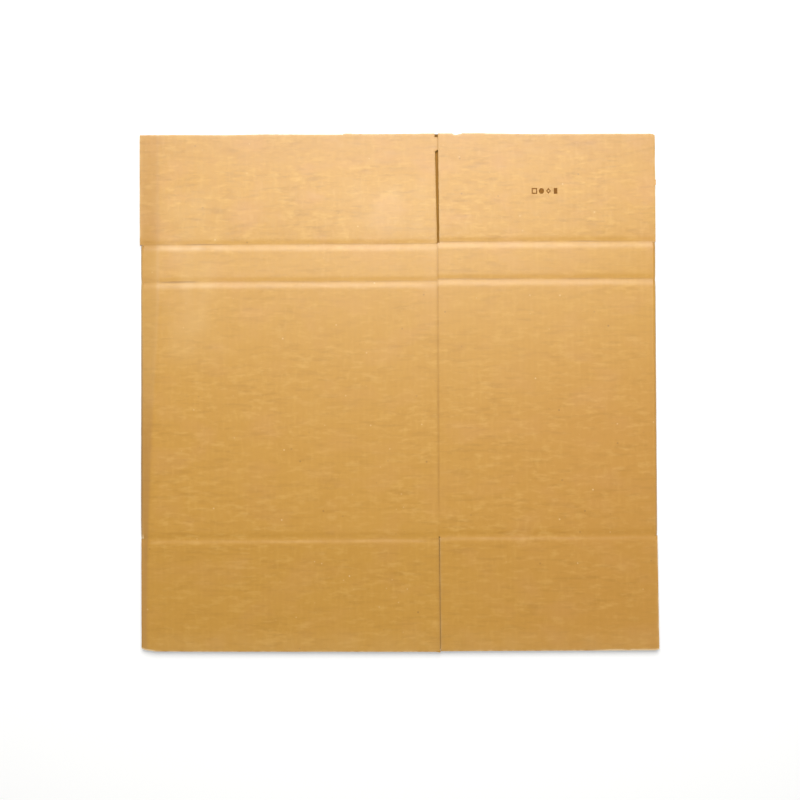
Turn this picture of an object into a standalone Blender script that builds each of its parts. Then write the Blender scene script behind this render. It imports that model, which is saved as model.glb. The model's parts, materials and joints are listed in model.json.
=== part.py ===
# A slotted shipping carton of single-wall corrugated board, folded flat and lying on its back.
# Metres. +X runs across the panels, +Y up the height of the box, +Z out of the front face.
# The board is one blank: four panels in a ring, closed by a glued tab, with a flap at both
# ends of each panel. Front: long panel on the left, short one on the right. Back: the reverse.

import bmesh
import bpy
from math import cos, pi, sin

# Panels and flaps, from score to score
LONG_PANEL = 0.405
SHORT_PANEL = 0.298
BODY_HEIGHT = 0.400
TOP_FLAP = 0.152
BOTTOM_FLAP = 0.156
SCORE_STEP = 0.0016          # the right-hand panels are scored this much higher
LOWER_SCORE_DROP = 0.051     # second fold line round the body, below the top scores

# Board and its layers
BOARD = 0.0039               # wall, with C flutes
LINER = 0.00035              # paper on each face of the wall
FLUTE_PITCH = 0.0079         # one full wave of the fluting
FLUTING = 0.0003             # paper of the wave
FLUTE_DEPTH = 0.012          # how far the channels are followed in from a cut edge
TAB_WIDTH = 0.034            # glued tab inside the back, crushed thinner than the wall
TAB_THICKNESS = 0.0026
LAYER_GAP = 0.0004           # air between front and back where they lie closest
FOLD_RAMP = 0.021            # the front bends down to the left fold over this width
FLAP_OVERHANG = 0.0013       # a flap stands out this far past the rounded folds
FLAP_INSET = 0.0003          # or this far inside them
BACK_INSET = 0.0008          # the back flaps lie inside the front ones

# Scores: two pressed lines with a bead between them, in a wide shallow trough
TROUGH_HALF = 0.010
LINE_OFFSET = 0.0030
LINE_DEPTH = 0.0011
BEAD_DEPTH = 0.0006
UPRIGHT_HALF = 0.004         # the upright score between the two front panels
UPRIGHT_DEPTH = 0.0005

# Slots between neighbouring flaps
SLOT_HALF = 0.0014
SLOT_FLARE = 0.0017          # the front top slot widens towards its mouth, on the long flap
SLIT_WIDTH = 0.0016          # the front bottom slot is pressed almost shut
SLIT_OFFSET = 0.0006         # its middle lies this far to the right of the upright score
BACK_SLOT_HALF = 0.0021
STRIP_WIDTH = 0.0029         # strip of slot waste left on the front top long flap
STRIP_FROM_EDGE = 0.0055
STRIP_LENGTH = 0.020
SEAM_HALF = 0.0007           # gap between the glued panels at the back

# Torn nub on the right-hand border of the front top short flap, from the scored line
NUB_START = 0.0775
NUB_LENGTH = 0.0085
NUB_SLOPE = 0.0012

# Free edges as cut and worn: share of the flap's width, and how far the edge stands back there
TOP_LONG_EDGE = (
    (0.0, 0.0013), (0.27, 0.0018), (0.43, 0.0008), (0.687, 0.0016),
    (0.692, 0.0), (0.715, 0.0), (0.72, 0.0006), (1.0, 0.0004),
)
TOP_SHORT_EDGE = (
    (0.0, 0.0002), (0.063, 0.0002), (0.073, 0.0023), (0.098, 0.0023), (0.108, 0.0),
    (0.25, 0.0002), (0.5, 0.0012), (0.975, 0.0016), (0.992, 0.0024), (1.0, 0.0044),
)
BOTTOM_LONG_EDGE = ((0.0, 0.0071), (0.012, 0.0049), (0.045, 0.0030), (0.985, 0.0008), (1.0, 0.0))
BOTTOM_SHORT_EDGE = ((0.0, 0.0), (0.985, 0.0), (1.0, 0.0012))
BACK_TOP_EDGE = ((0.0, 0.0026), (1.0, 0.0026))
BACK_BOTTOM_SHORT_EDGE = ((0.0, 0.0080), (0.06, 0.0038), (1.0, 0.0026))
BACK_BOTTOM_LONG_EDGE = ((0.0, 0.0026), (1.0, 0.0012))

HINGE_GAP = 0.0003           # between the body and a flap at the scored line
NOSE_SEGMENTS = 6

# Places worked out from the sizes above
FOLD_HEIGHT = 2 * BOARD + LAYER_GAP
CROWN_HEIGHT = FOLD_HEIGHT + TAB_THICKNESS
NOSE_RADIUS = FOLD_HEIGHT / 2
FOLD_X = (LONG_PANEL + SHORT_PANEL) / 2
FLAP_X = FOLD_X + FLAP_OVERHANG
UPRIGHT_X = LONG_PANEL - FOLD_X
SEAM_X = SHORT_PANEL - FOLD_X
TAB_END_X = SEAM_X + TAB_WIDTH
RAMP_X = FOLD_RAMP - FOLD_X
NOSE_X = FOLD_X - NOSE_RADIUS
EDGE_Y = (TOP_FLAP + BODY_HEIGHT + BOTTOM_FLAP) / 2
TOP_SCORE_Y = EDGE_Y - TOP_FLAP
BOTTOM_SCORE_Y = BOTTOM_FLAP - EDGE_Y
LOWER_SCORE_Y = TOP_SCORE_Y - LOWER_SCORE_DROP

KRAFT = (0.73, 0.45, 0.17)
KRAFT_SHADES = {"front": 1.0, "back": 0.94, "body": 0.97}


def front_height(x, along=0.0):
    """Height of the front's outer face: it lies over the tab and sinks to both folds.

    along is the share of a flap's length. There is no tab behind the flaps, so they sink from
    the panel's height at their scored line to the height of the folds at their free edge.
    """
    if x < RAMP_X:
        share = (x + NOSE_X) / (RAMP_X + NOSE_X)
    elif x <= TAB_END_X:
        share = 1.0
    else:
        share = (NOSE_X - x) / (NOSE_X - TAB_END_X)
    return FOLD_HEIGHT + max(0.0, share) * TAB_THICKNESS * (1.0 - along)


def score_depth(distance):
    """Depth of a scored line's trough at a distance from its middle."""
    away = abs(distance)
    if away >= TROUGH_HALF:
        return 0.0
    if away >= LINE_OFFSET:
        return LINE_DEPTH * (TROUGH_HALF - away) / (TROUGH_HALF - LINE_OFFSET)
    return BEAD_DEPTH + (LINE_DEPTH - BEAD_DEPTH) * away / LINE_OFFSET


def add_ring(bm, points):
    """The corners of one cross-section."""
    return [bm.verts.new(point) for point in points]


def join_rings(bm, rings):
    """Walls between each ring and the next."""
    for ring, following in zip(rings, rings[1:]):
        for index in range(len(ring)):
            corners = (ring[index - 1], ring[index], following[index], following[index - 1])
            bm.faces.new(corners)


def make_object(name, bm, origin, shade):
    """Close the bmesh into a named object with its own board material."""
    bmesh.ops.recalc_face_normals(bm, faces=bm.faces[:])
    bmesh.ops.translate(bm, verts=bm.verts[:], vec=[-value for value in origin])
    mesh = bpy.data.meshes.new(name)
    bm.to_mesh(mesh)
    bm.free()
    material = bpy.data.materials.new(name + "_board")
    material.use_nodes = True
    surface = material.node_tree.nodes["Principled BSDF"]
    surface.inputs["Base Color"].default_value = [channel * shade for channel in KRAFT] + [1.0]
    surface.inputs["Roughness"].default_value = 0.85
    mesh.materials.append(material)
    obj = bpy.data.objects.new(name, mesh)
    obj.location = origin
    bpy.context.scene.collection.objects.link(obj)
    return obj


def body_wall():
    """The board's path round the flat tube.

    Each entry is the outer point and the inner point as (x, z), the way that the outer face
    looks (+1 front, -1 back, 0 a fold) and the share of the score step at that place.
    """
    tab_top = BOARD + TAB_THICKNESS
    back = [
        ((-NOSE_X, 0.0), (-NOSE_X, BOARD), 0.0),
        ((SEAM_X - 2 * BOARD, 0.0), (SEAM_X - BOARD, BOARD), 0.0),
        ((SEAM_X - SEAM_HALF, 0.0), (SEAM_X - SEAM_HALF, tab_top), 0.0),
        ((SEAM_X - SEAM_HALF, BOARD), (SEAM_X - SEAM_HALF / 2, tab_top), 0.0),
        ((SEAM_X + SEAM_HALF, BOARD), (SEAM_X + SEAM_HALF / 2, tab_top), 1.0),
        ((SEAM_X + SEAM_HALF, 0.0), (SEAM_X + SEAM_HALF, tab_top), 1.0),
        ((TAB_END_X, 0.0), (TAB_END_X, tab_top), 1.0),
        ((TAB_END_X + TAB_THICKNESS, 0.0), (TAB_END_X + TAB_THICKNESS / 4, BOARD), 1.0),
        ((NOSE_X, 0.0), (NOSE_X, BOARD), 1.0),
    ]
    wall = [(outer, inner, -1, step) for outer, inner, step in back]

    wall += fold_nose(NOSE_X, -pi / 2, 1.0)
    front = [
        (NOSE_X, 0.0, 1.0),
        (UPRIGHT_X + UPRIGHT_HALF, 0.0, 1.0),
        (UPRIGHT_X + SEAM_HALF, UPRIGHT_DEPTH, 1.0),
        (UPRIGHT_X - SEAM_HALF, UPRIGHT_DEPTH, 0.0),
        (UPRIGHT_X - UPRIGHT_HALF, 0.0, 0.0),
        (TAB_END_X, 0.0, 0.0),
        (RAMP_X, 0.0, 0.0),
        (-NOSE_X, 0.0, 0.0),
    ]
    for x, depth, step in front:
        height = front_height(x)
        wall.append(((x, height - depth), (x, height - BOARD), 1, step))
    wall += fold_nose(-NOSE_X, pi / 2, 0.0)
    return wall


def fold_nose(x, start, step):
    """Rounded fold: points on the half circle between the back and the front."""
    middle = FOLD_HEIGHT / 2
    nose = []
    for index in range(1, NOSE_SEGMENTS):
        angle = start + pi * index / NOSE_SEGMENTS
        outer = (x + NOSE_RADIUS * cos(angle), middle + NOSE_RADIUS * sin(angle))
        inner = (x + LAYER_GAP / 2 * cos(angle), middle + LAYER_GAP / 2 * sin(angle))
        nose.append((outer, inner, 0, step))
    return nose


def build_body():
    """The four panels as a flat tube, open at both ends, between the flaps' scored lines."""
    wall = body_wall()
    score_offsets = (-TROUGH_HALF, -LINE_OFFSET, 0.0, LINE_OFFSET, TROUGH_HALF)
    stations = [BOTTOM_SCORE_Y + HINGE_GAP / 2, BOTTOM_SCORE_Y + LINE_OFFSET]
    stations.append(BOTTOM_SCORE_Y + TROUGH_HALF)
    stations += [LOWER_SCORE_Y + offset for offset in score_offsets]
    stations += [TOP_SCORE_Y - TROUGH_HALF, TOP_SCORE_Y - LINE_OFFSET]
    stations.append(TOP_SCORE_Y - HINGE_GAP / 2)

    bm = bmesh.new()
    outer_rings = []
    inner_rings = []
    for y in stations:
        scores = (BOTTOM_SCORE_Y, LOWER_SCORE_Y, TOP_SCORE_Y)
        depth = max(score_depth(y - score) for score in scores)
        outer_points = []
        inner_points = []
        for outer, inner, facing, step in wall:
            place = y + step * SCORE_STEP
            outer_points.append((outer[0], place, outer[1] - facing * depth))
            inner_points.append((inner[0], place, inner[1]))
        outer_rings.append(add_ring(bm, outer_points))
        inner_rings.append(add_ring(bm, inner_points))
    join_rings(bm, outer_rings)
    join_rings(bm, inner_rings)
    for index in (0, -1):
        join_rings(bm, [outer_rings[index], inner_rings[index]])
    return make_object("carton_body", bm, (0.0, 0.0, 0.0), KRAFT_SHADES["body"])


def wall_faces(side, x, along):
    """Heights of a flap's lower and upper face at a share of its length from the score.

    side is +1 for the front layer and -1 for the back.
    """
    upper = front_height(x, along) if side > 0 else BOARD
    return upper - BOARD, upper


def channel_corners(side, middle, opens_down):
    """Triangle between the wave and one liner, as (x, z), round the wave's middle line."""
    half_wave = FLUTE_PITCH / 2
    rib = FLUTING * (half_wave ** 2 + BOARD ** 2) ** 0.5 / BOARD / 2
    half_width = half_wave - rib
    share = half_width / half_wave
    corners = []
    for x, reach in ((middle - half_width, 0.0), (middle + half_width, 0.0), (middle, share)):
        low, high = wall_faces(side, x, 1.0)
        low += LINER
        high -= LINER
        z = low + reach * (high - low) if opens_down else high - reach * (high - low)
        corners.append((x, z))
    return corners


def cut_channels(flap, side, end, edge_y, low_x, high_x):
    """Open the flute channels in a flap's cut edge, in line with its slope."""
    half_wave = FLUTE_PITCH / 2
    along = (FLUTE_DEPTH + LINER) / (TOP_FLAP if end > 0 else BOTTOM_FLAP)
    first = int((low_x + half_wave + LINER) // half_wave) + 1
    last = int((high_x - half_wave - LINER) // half_wave)
    bm = bmesh.new()
    for index in range(first, last + 1):
        corners = channel_corners(side, index * half_wave, index % 2 == 0)
        near = [bm.verts.new((x, edge_y + end * LINER, z)) for x, z in corners]
        mouth = bm.faces.new(near)
        channel = bmesh.ops.extrude_face_region(bm, geom=[mouth], use_keep_orig=True)
        far = [item for item in channel["geom"] if isinstance(item, bmesh.types.BMVert)]
        middle = index * half_wave
        rise = wall_faces(side, middle, 1.0 - along)[1] - wall_faces(side, middle, 1.0)[1]
        bmesh.ops.translate(bm, verts=far, vec=(0.0, -end * (FLUTE_DEPTH + LINER), rise))
    bmesh.ops.recalc_face_normals(bm, faces=bm.faces[:])
    mesh = bpy.data.meshes.new(flap.name + "_channels")
    bm.to_mesh(mesh)
    bm.free()
    cutter = bpy.data.objects.new(flap.name + "_channels", mesh)
    cutter.hide_render = True
    cutter.display_type = "WIRE"
    bpy.context.scene.collection.objects.link(cutter)
    cut = flap.modifiers.new("flute channels", "BOOLEAN")
    cut.operation = "DIFFERENCE"
    cut.solver = "EXACT"
    cut.object = cutter


def stand_back(edge, share):
    """How far a worn edge stands back at a share of the flap's width."""
    for (start, near), (end, far) in zip(edge, edge[1:]):
        if share <= end:
            return near + (far - near) * (share - start) / (end - start)
    return edge[-1][1]


def build_flap(name, side, end, left, right, edge, extra_stations=()):
    """One flap.

    side is +1 for the front layer and -1 for the back, end is +1 for a top flap and -1 for a
    bottom one. left and right give the flap's borders at a distance from its scored line, and
    edge is its worn free edge. extra_stations are more distances where a border turns.
    """
    step = SCORE_STEP if right(0.0) > FOLD_X / 2 else 0.0
    score_y = (TOP_SCORE_Y if end > 0 else BOTTOM_SCORE_Y) + step
    length = TOP_FLAP - step if end > 0 else BOTTOM_FLAP
    stations = [HINGE_GAP / 2, LINE_OFFSET, TROUGH_HALF, *extra_stations, length]
    edge_low, edge_high = left(length), right(length)
    width = edge_high - edge_low
    inner_x = [edge_low + share * width for share, _ in edge[1:-1]]
    if side > 0:
        inner_x += [x for x in (RAMP_X, TAB_END_X) if edge_low < x < edge_high]

    bm = bmesh.new()
    rings = []
    for distance in stations:
        across = [left(distance)] + sorted(inner_x) + [right(distance)]
        depth = score_depth(distance)
        upper = []
        lower = []
        for x in across:
            back = stand_back(edge, (x - edge_low) / width) if distance == length else 0.0
            y = score_y + end * (distance - back)
            low, high = wall_faces(side, x, distance / length)
            upper.append((x, y, high - (depth if side > 0 else 0.0)))
            lower.append((x, y, low + (depth if side < 0 else 0.0)))
        rings.append(add_ring(bm, upper + lower[::-1]))
    join_rings(bm, rings)
    for ring in (rings[0], rings[-1]):
        last = len(ring) - 1
        for index in range(len(ring) // 2 - 1):
            corners = (ring[index], ring[index + 1], ring[last - index - 1], ring[last - index])
            bm.faces.new(corners)
    bmesh.ops.triangulate(bm, faces=bm.faces[:])
    hinge_z = CROWN_HEIGHT if side > 0 else 0.0
    shade = KRAFT_SHADES["front" if side > 0 else "back"]
    flap = make_object(name, bm, (0.0, score_y, hinge_z), shade)
    cut_channels(flap, side, end, score_y + end * length, left(length), right(length))
    return flap


def straight_border(x):
    """A flap's border that stays at one x all along."""
    return lambda distance: x


def top_slot_long(distance):
    """Border of the front top long flap at its slot, with the strip of waste on it."""
    strip_end = TOP_FLAP - STRIP_FROM_EDGE
    edge = UPRIGHT_X - SLOT_HALF - SLOT_FLARE * distance / TOP_FLAP
    if strip_end - STRIP_LENGTH + HINGE_GAP <= distance <= strip_end:
        edge += STRIP_WIDTH
    return edge


def torn_border(distance):
    """Right-hand border of the front top short flap, with its nub."""
    from_middle = abs(distance - NUB_START - NUB_LENGTH / 2)
    share = (NUB_LENGTH / 2 - from_middle) / NUB_SLOPE
    return FOLD_X + FLAP_OVERHANG * max(0.0, min(1.0, share))


def spread_border(distance):
    """Right-hand border of the front bottom short flap, which splays out to its edge."""
    return FOLD_X - FLAP_INSET + (FLAP_OVERHANG + FLAP_INSET) * distance / BOTTOM_FLAP


def build_flaps():
    """Four flaps on the front and four behind them."""
    strip_end = TOP_FLAP - STRIP_FROM_EDGE
    strip_start = strip_end - STRIP_LENGTH
    strip = (strip_start, strip_start + HINGE_GAP, strip_end, strip_end + HINGE_GAP)
    nub_end = NUB_START + NUB_LENGTH
    nub = (NUB_START, NUB_START + NUB_SLOPE, nub_end - NUB_SLOPE, nub_end)
    left_edge = straight_border(-FLAP_X)
    left_inset = straight_border(FLAP_INSET - FOLD_X)
    back_left = straight_border(BACK_INSET - FOLD_X)
    back_right = straight_border(FOLD_X - BACK_INSET)
    slot_short = straight_border(UPRIGHT_X + SLOT_HALF)
    slit_long = straight_border(UPRIGHT_X + SLIT_OFFSET - SLIT_WIDTH / 2)
    slit_short = straight_border(UPRIGHT_X + SLIT_OFFSET + SLIT_WIDTH / 2)
    back_short = straight_border(SEAM_X - BACK_SLOT_HALF)
    back_long = straight_border(SEAM_X + BACK_SLOT_HALF)
    build_flap("front_top_long_flap", 1, 1, left_edge, top_slot_long, TOP_LONG_EDGE, strip)
    build_flap("front_top_short_flap", 1, 1, slot_short, torn_border, TOP_SHORT_EDGE, nub)
    build_flap("front_bottom_long_flap", 1, -1, left_inset, slit_long, BOTTOM_LONG_EDGE)
    build_flap("front_bottom_short_flap", 1, -1, slit_short, spread_border, BOTTOM_SHORT_EDGE)
    build_flap("back_top_short_flap", -1, 1, back_left, back_short, BACK_TOP_EDGE)
    build_flap("back_top_long_flap", -1, 1, back_long, back_right, BACK_TOP_EDGE)
    build_flap("back_bottom_short_flap", -1, -1, back_left, back_short, BACK_BOTTOM_SHORT_EDGE)
    build_flap("back_bottom_long_flap", -1, -1, back_long, back_right, BACK_BOTTOM_LONG_EDGE)


for old in list(bpy.data.objects):
    bpy.data.objects.remove(old, do_unlink=True)
build_body()
build_flaps()
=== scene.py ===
import json
import math

import bmesh
import bpy
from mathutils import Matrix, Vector, noise
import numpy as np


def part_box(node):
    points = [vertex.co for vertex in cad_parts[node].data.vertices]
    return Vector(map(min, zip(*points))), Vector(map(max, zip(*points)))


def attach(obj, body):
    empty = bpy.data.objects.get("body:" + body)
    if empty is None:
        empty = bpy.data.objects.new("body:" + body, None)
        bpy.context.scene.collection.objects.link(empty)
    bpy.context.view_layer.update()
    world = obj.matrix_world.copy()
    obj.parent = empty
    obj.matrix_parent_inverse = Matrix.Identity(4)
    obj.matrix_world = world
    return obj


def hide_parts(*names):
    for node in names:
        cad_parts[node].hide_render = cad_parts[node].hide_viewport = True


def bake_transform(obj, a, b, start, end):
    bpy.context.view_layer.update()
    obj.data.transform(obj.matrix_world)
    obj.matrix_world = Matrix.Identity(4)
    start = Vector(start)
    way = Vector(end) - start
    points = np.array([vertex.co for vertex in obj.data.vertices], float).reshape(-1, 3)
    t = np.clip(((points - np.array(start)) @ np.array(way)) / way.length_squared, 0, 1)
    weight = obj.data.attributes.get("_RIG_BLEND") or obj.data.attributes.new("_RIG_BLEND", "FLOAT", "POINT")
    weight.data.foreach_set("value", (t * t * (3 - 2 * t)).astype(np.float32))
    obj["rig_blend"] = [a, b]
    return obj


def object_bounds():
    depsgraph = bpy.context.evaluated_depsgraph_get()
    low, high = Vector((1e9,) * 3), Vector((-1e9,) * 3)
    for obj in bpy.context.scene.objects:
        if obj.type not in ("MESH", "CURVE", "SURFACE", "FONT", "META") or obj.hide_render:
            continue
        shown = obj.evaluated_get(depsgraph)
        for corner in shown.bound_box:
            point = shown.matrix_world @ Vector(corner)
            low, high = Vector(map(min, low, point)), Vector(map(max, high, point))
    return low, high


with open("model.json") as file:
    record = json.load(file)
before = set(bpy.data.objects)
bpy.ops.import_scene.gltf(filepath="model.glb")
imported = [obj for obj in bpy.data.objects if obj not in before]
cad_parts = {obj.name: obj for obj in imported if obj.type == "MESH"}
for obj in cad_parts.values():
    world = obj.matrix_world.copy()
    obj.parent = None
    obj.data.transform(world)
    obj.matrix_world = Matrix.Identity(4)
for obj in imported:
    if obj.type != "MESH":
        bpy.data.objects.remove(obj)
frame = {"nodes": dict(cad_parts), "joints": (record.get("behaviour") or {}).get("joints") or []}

mm = 0.001
cadLow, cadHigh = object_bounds()
print("frame loaded:", len(frame["nodes"]), "nodes")

# Places read off the frame: folds, scores, slots and the seam
hinges = {joint["child"]: joint["pos_m"] for joint in frame["joints"]}
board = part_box("back_top_long_flap")[1].z
crownZ = cadHigh.z
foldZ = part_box("front_top_short_flap")[0].z + board
noseRadius = foldZ / 2
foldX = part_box("carton_body")[1].x
noseX = foldX - noseRadius
flapX = cadHigh.x
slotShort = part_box("front_top_short_flap")[0].x
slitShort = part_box("front_bottom_short_flap")[0].x
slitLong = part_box("front_bottom_long_flap")[1].x
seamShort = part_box("back_top_short_flap")[1].x
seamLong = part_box("back_top_long_flap")[0].x
seamX = (seamShort + seamLong) / 2
uprightX = -seamX
topScore = hinges["front_top_long_flap"][1]
bottomScore = hinges["front_bottom_long_flap"][1]
scoreStep = hinges["front_top_short_flap"][1] - topScore
topFlap = cadHigh.y - topScore
bottomFlap = bottomScore - cadLow.y

# The wall is two liners with the wave glued between them
wall = {
    "liner": 0.35 * mm,
    "fluting": 0.25 * mm,
    "pitch": 7.9 * mm,
    "skinDrop": 0.14 * mm,      # room for the relief under the frame's faces
    "edgeDraw": 0.10 * mm,      # room for the rag inside the frame's borders
    "tabWidth": 34 * mm,        # glued tab inside the back, which lifts the front
    "seamHalf": 0.7 * mm,
    "lip": 0.32 * mm,           # the die presses the liner down at a cut edge
    "lipWidth": 0.9 * mm,
    "lipRubbed": (0.65, 0.9),   # and it is rubbed paler there
}
tabHeight = crownZ - foldZ
tabEndX = seamX + wall["tabWidth"]


def smoothStep(value):
    value = min(1.0, max(0.0, value))
    return value * value * (3 - 2 * value)


# Soft steps at (place, length): one rises from the place on, one has fallen to 0 at it
def rising(value, step):
    return smoothStep((value - step[0]) / step[1])


def falling(value, step):
    return smoothStep((step[0] - value) / step[1])


def hump(distance, width):
    return math.exp(-distance * distance / (2 * width * width))


# Noise of one size, between about -1 and 1; the seed sets one use of it apart from another
def rough(x, y, size, seed):
    return noise.noise(Vector((x / size, y / size, seed)))


# A plain share with what the noise adds to it
def varied(share, x, y, size, seed):
    return share[0] + share[1] * rough(x, y, size, seed)


# The hump of a form's part, such as "bulge", from its place and width
def humpOf(form, part, value):
    return hump(value - form[part + "At"], form[part + "Width"])


def spread(low, high, step):
    count = max(1, round((high - low) / step))
    return [low + (high - low) * index / count for index in range(count + 1)]


def stepAt(x, side):
    return scoreStep if x > (uprightX if side > 0 else seamX) else 0.0


# Going down the front, a pressed score first falls a little and then rises in a steep wall.
# "net" is how much higher the face is below it, where the glued tab holds the panels up.
scoreForm = {
    "net": (0.72 * mm, 0.62 * mm),      # at the first and the second score from the top
    "trough": 0.36 * mm,
    "fallAt": 4.0 * mm,
    "fallWidth": 2.3 * mm,
    "riseAt": -4.3 * mm,
    "riseWidth": 2.5 * mm,
    "pinch": 0.035 * mm,        # thin line that the die's blade leaves over the wall
    "pinchAt": 0.6 * mm,
    "pinchWidth": 0.6 * mm,
    "wideFall": 0.45 * mm,      # slow fall instead, where nothing holds the panels up
    "wideAt": 9 * mm,
    "wideWidth": 6 * mm,
    "lowerDrop": 51 * mm,       # from the first score down to the second
    "endLength": 28 * mm,       # the long panel's scores soften towards the upright score
    "soften": 1.9,
    "uneven": (0.22, 0.12),     # how much their walls' width varies, in long and short runs
    "wander": 0.45 * mm,
    "shift": (-0.4 * mm, 0.6 * mm),     # long and short panel
    "backDepth": 0.8 * mm,
    "backWidth": 3.4 * mm,
}
bottomForm = {
    "fall": 0.58 * mm,
    "fallAt": 4.6 * mm,
    "fallWidth": 2.6 * mm,
    "rise": 0.60 * mm,
    "riseAt": -3.9 * mm,
    "riseWidth": 2.6 * mm,
    "riseShare": (0.9, 0.6),    # at the level of the panels, and what the glued tab adds
    "from": 20 * mm,            # the score's form ends this far above it
    "left": 0.16 * mm,          # height over the glued tab that is left at the free edge
}
sink = {
    "strip": 0.78 * mm,         # between the first and the second score
    "topFlap": 0.50 * mm,
    "crush": 0.6 * mm,          # what all of them sink by even at the left fold
}
uprightForm = {
    "line": 0.85 * mm,
    "depth": 0.20 * mm,
    "lip": 1.7 * mm,            # the paper rises again this far to its right
    "lipHeight": 0.06 * mm,
    "shift": 0.3 * mm,
    "wander": 0.3 * mm,
}
handled = {
    "ribs": 0.022 * mm,         # the wave shows through the liner as ribs, in patches
    "ribShare": (0.6, 0.8),     # plain, and what the patches add
    "ribPatch": 60 * mm,
    "buckle": 0.06 * mm,
    "pucker": 0.03 * mm,
}
# The front bends down to the left fold
rampForm = {
    "width": (10 * mm, 22 * mm),        # at its lower and its upper end
    "wideFrom": -310 * mm,      # it widens from near the bottom edge up to under the second score
    "wideOver": 435 * mm,
    "power": 1.6,
    "soft": 0.10,               # share over which it is rounded off
    "tabSoft": 0.03,            # the same for the slope up to the glued tab
}


def stepUp(distance, width):
    return 0.5 * (1 + math.erf(distance / (width * math.sqrt(2))))


def widening(y):
    share = min(1.0, max(0.0, (y - rampForm["wideFrom"]) / rampForm["wideOver"]))
    return share ** rampForm["power"]


# How far a form's rise or fall has come at a distance above its score
def slopeOf(form, part, above, loose=1):
    return stepUp(form[part + "At"] - above, form[part + "Width"] * loose)


# A share that grows evenly and is rounded off as it comes to 1; 60 keeps exp within its range
def easeOff(share, soft):
    return min(1.0, share - soft * math.log1p(math.exp(min(60.0, (share - 1) / soft))))


def bendAt(x, y):
    narrow, wide = rampForm["width"]
    width = narrow + (wide - narrow) * widening(y) + noseX - foldX
    return max(0.0, easeOff((x + noseX) / width, rampForm["soft"]))


# How much of the tab's height the front is lifted by
def liftAt(x, y):
    slope = easeOff((noseX - x) / (noseX - tabEndX), rampForm["tabSoft"])
    return max(0.0, min(bendAt(x, y), slope))


def wanderAt(x, y):
    return scoreForm["wander"] * rough(x, y, 50 * mm, 7.7)


# How far the front lies under the panels' level, from the scores and from the slopes of the
# strip between them and of the flaps; share is less where there is little room to sink
def frontSink(x, y, step, lift):
    full = sum(scoreForm["net"]) + sink["strip"] + sink["topFlap"]
    least = sink["crush"] / full
    share = min(least + (1 - least) * bendAt(x, y), least + tabHeight * lift / full)
    wander = wanderAt(x, y)
    inLong, inShort = scoreForm["uneven"]
    loose = 1 + inLong * rough(x, y, 30 * mm, 3.1) + inShort * rough(x, y, 9 * mm, 6.6)
    if x <= uprightX:
        loose *= 1 + scoreForm["soften"] * smoothStep(1 - (uprightX - x) / scoreForm["endLength"])
    away = y - topScore - step - wander - scoreForm["shift"][x > uprightX]
    sunk = 0.0
    for above, net in zip((away, away + scoreForm["lowerDrop"]), scoreForm["net"]):
        rise = slopeOf(scoreForm, "rise", above, loose)
        fall = slopeOf(scoreForm, "fall", above)
        wide = slopeOf(scoreForm, "wide", above)
        sunk += share * net * (1 - rise) + scoreForm["pinch"] * loose * humpOf(scoreForm, "pinch", above)
        sunk += scoreForm["trough"] * (fall - rise) + (1 - share) * scoreForm["wideFall"] * (wide - rise)
    strip = min(1.0, max(0.0, 1 + (y - topScore - step) / scoreForm["lowerDrop"]))
    sunk += share * sink["strip"] * strip
    if y > topScore + step:
        sunk += share * sink["topFlap"] * (1 - (1 - (y - topScore - step) / topFlap) ** 2)
    away = y - bottomScore - step - wander - scoreForm["shift"][x > uprightX]
    if away < bottomForm["from"]:
        level, overTab = bottomForm["riseShare"]
        rise = bottomForm["rise"] * (level + overTab * lift) * slopeOf(bottomForm, "rise", away, loose)
        sunk += bottomForm["fall"] * slopeOf(bottomForm, "fall", away) - rise
        along = min(1.0, max(0.0, -away / bottomFlap))
        sunk += max(0.0, tabHeight * lift - bottomForm["left"]) * (1 - (1 - along) ** 2)
    return sunk


def frontFace(x, y, step):
    lift = liftAt(x, y)
    return foldZ + tabHeight * lift - frontSink(x, y, step, lift)


def backScore(x, y, step):
    scores = (topScore, topScore - scoreForm["lowerDrop"], bottomScore)
    lines = sum(hump(y - score - step, scoreForm["backWidth"]) for score in scores)
    return scoreForm["backDepth"] * lines


def fromUpright(x, y):
    return x - uprightX - uprightForm["shift"] - uprightForm["wander"] * rough(y, x, 60 * mm, 4.9)


# How far the outer face lies under its plain form
def outerRelief(x, y, side):
    relief = wall["skinDrop"] + (backScore(x, y, stepAt(x, side)) if side < 0 else 0.0)
    patch = varied(handled["ribShare"], x, y, handled["ribPatch"], 1.3)
    relief -= handled["ribs"] * patch * math.sin(2 * math.pi * x / wall["pitch"])
    relief += handled["buckle"] * rough(x, y, 50 * mm, 5.2)
    relief += handled["pucker"] * rough(x, y, 12 * mm, 9.4)
    if side > 0 and bottomScore < y < topScore + scoreStep:
        away = fromUpright(x, y)
        relief += uprightForm["depth"] * hump(away, uprightForm["line"])
        relief -= uprightForm["lipHeight"] * hump(away - uprightForm["lip"], uprightForm["line"])
    return relief


# Paint that the liner's material reads: painted shade on the bent strip, painted shade with the die's
# burnish in the scores, rubbed fibres and painted highlights. The bent strip beside the left fold, which
# slopes away from the lamp, gets painted shade with a pinker tint; its part on the upper half of the body
# gets less and a painted sheen instead.
bendShadeAndGrimeForm = {
    "width": (8 * mm, 26 * mm),
    "edge": 5 * mm,
    "wander": 1.2 * mm,
    "flapLess": 0.25,           # share that it loses on the top flap
    "flapFrom": (-20 * mm, 30 * mm),    # from the top score
    "tips": 0.4,                # the top flaps' free ends are a little grubby
    "tipsFrom": (288 * mm, 55 * mm),
    "paleFrom": (-70 * mm, 100 * mm),
    "paleTo": (topScore, 12 * mm),
    "lessDark": 0.65,
    "scuffed": 0.12,
}


# Painted shade, pinker, on the strip that bends away from the lamp beside the left fold; the grubby free
# ends of the top flaps share its colour
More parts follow.
